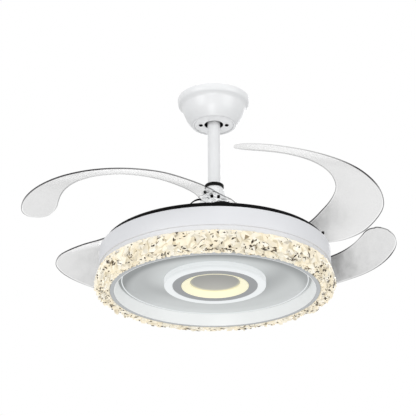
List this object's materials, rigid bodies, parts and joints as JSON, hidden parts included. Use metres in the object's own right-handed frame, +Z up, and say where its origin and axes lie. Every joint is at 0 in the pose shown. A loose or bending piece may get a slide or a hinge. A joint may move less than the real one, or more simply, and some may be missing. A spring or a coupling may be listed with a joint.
{
  "type": "retractable ceiling fan",
  "caption": "Ceiling fan on a downrod whose clear curved blades swing out over a round lamp with a crystal rim and a recessed light.",
  "frame": {"origin": "centre of the ceiling plate, on the face that lies against the ceiling", "axes": "+Z up into the ceiling along the rod; -Y towards the viewer of the picture; +X to the right in the picture"},
  "size_m": [0.7774, 0.7823, 0.4451],
  "materials": {
    "white_paint": "satin white paint",
    "white_shell": "satin white moulding",
    "black_plastic": "moulded black",
    "black_rubber": "matte",
    "steel": "zinc plated",
    "silver": "satin",
    "grey_paint": "matte grey paint on a moulding",
    "opal": "opal white",
    "warm_glow": "opal, lit warm white",
    "cream_paint": "matte",
    "crystal": "clear cut facets, lit warm white from behind",
    "clear_plastic": "clear moulded",
    "clear_blade": "clear, slightly smoky, moulded",
    "copper": "enamelled copper wire",
    "laminations": "stacked sheet steel",
    "magnet": "ferrite",
    "circuit": "circuit board",
    "box_plastic": "moulded",
    "lead_sleeve": "sleeve over wires"
  },
  "bodies": {
    "ceiling_side": {"hanger_bracket": "steel", "canopy": "white_paint", "canopy_screw_left": "black_plastic", "canopy_screw_right": "black_plastic", "receiver_box": "box_plastic", "terminal_block": "box_plastic"},
    "seat_liner": {"ball_seat_liner": "black_rubber"},
    "hung_frame": {"hanger_ball": "black_plastic", "ball_pin": "steel", "downrod": "white_paint", "seal_ring": "black_rubber", "yoke_cover": "white_paint", "yoke": "steel", "yoke_pin": "steel", "motor_shaft": "steel", "stator_core": "laminations", "stator_winding": "copper", "lamp_shell": "white_shell", "lamp_carrier": "steel", "shaft_nut": "steel", "led_driver": "box_plastic", "motor_controller": "box_plastic", "supply_lead": "lead_sleeve", "crystal_carrier": "clear_plastic", "crystal_band": "crystal", "edge_led_strip": "circuit", "bottom_rim": "silver", "recess_wall": "opal", "reflector_pan": "grey_paint", "opal_ring": "opal", "grey_ring": "grey_paint", "warm_diffuser": "warm_glow", "centre_disc": "cream_paint", "led_board": "circuit"},
    "rotor": {"rotor_housing": "white_paint", "rotor_bearing_upper": "steel", "rotor_bearing_lower": "steel", "magnet_ring": "magnet", "blade_tray": "black_plastic", "pivot_housing_1": "black_plastic", "pivot_pin_1": "steel", "return_spring_1": "steel", "pivot_housing_2": "black_plastic", "pivot_pin_2": "steel", "return_spring_2": "steel", "pivot_housing_3": "black_plastic", "pivot_pin_3": "steel", "return_spring_3": "steel", "pivot_housing_4": "black_plastic", "pivot_pin_4": "steel", "return_spring_4": "steel"},
    "gear_ring": {"sync_ring": "box_plastic"},
    "blade_unit_1": {"blade_hub_1": "black_plastic", "blade_1": "clear_blade"},
    "blade_unit_2": {"blade_hub_2": "black_plastic", "blade_2": "clear_blade"},
    "blade_unit_3": {"blade_hub_3": "black_plastic", "blade_3": "clear_blade"},
    "blade_unit_4": {"blade_hub_4": "black_plastic", "blade_4": "clear_blade"}
  },
  "joints": [
    {"name": "ball_tilt_x", "type": "hinge", "parent": "ceiling_side", "child": "seat_liner", "pos_m": [0, 0, -0.034], "axis": [1, 0, 0], "range_deg": [-5, 5]},
    {"name": "ball_tilt_y", "type": "hinge", "parent": "seat_liner", "child": "hung_frame", "pos_m": [0, 0, -0.034], "axis": [0, 1, 0], "range_deg": [-5, 5]},
    {"name": "fan_spin", "type": "hinge", "parent": "hung_frame", "child": "rotor", "pos_m": [0, 0, -0.3445], "axis": [0, 0, 1], "continuous": true},
    {"name": "blade_1_swing", "type": "hinge", "parent": "rotor", "child": "blade_unit_1", "pos_m": [0.01197, -0.17559, -0.3325], "axis": [0, 0, 1], "range_deg": [-66, 0]},
    {"name": "blade_2_swing", "type": "hinge", "parent": "rotor", "child": "blade_unit_2", "pos_m": [0.17559, 0.01197, -0.3325], "axis": [0, 0, 1], "range_deg": [-66, 0]},
    {"name": "blade_3_swing", "type": "hinge", "parent": "rotor", "child": "blade_unit_3", "pos_m": [-0.01197, 0.17559, -0.3325], "axis": [0, 0, 1], "range_deg": [-66, 0]},
    {"name": "blade_4_swing", "type": "hinge", "parent": "rotor", "child": "blade_unit_4", "pos_m": [-0.17559, -0.01197, -0.3325], "axis": [0, 0, 1], "range_deg": [-66, 0]},
    {"name": "sync_ring_turn", "type": "hinge", "parent": "rotor", "child": "gear_ring", "pos_m": [0, 0, -0.3445], "axis": [0, 0, 1], "range_deg": [0, 8.95]}
  ],
  "couplings": [
    {"joint": "blade_2_swing", "follows": "blade_1_swing", "ratio": 1},
    {"joint": "blade_3_swing", "follows": "blade_1_swing", "ratio": 1},
    {"joint": "blade_4_swing", "follows": "blade_1_swing", "ratio": 1},
    {"joint": "sync_ring_turn", "follows": "blade_1_swing", "ratio": -0.13548}
  ]
}
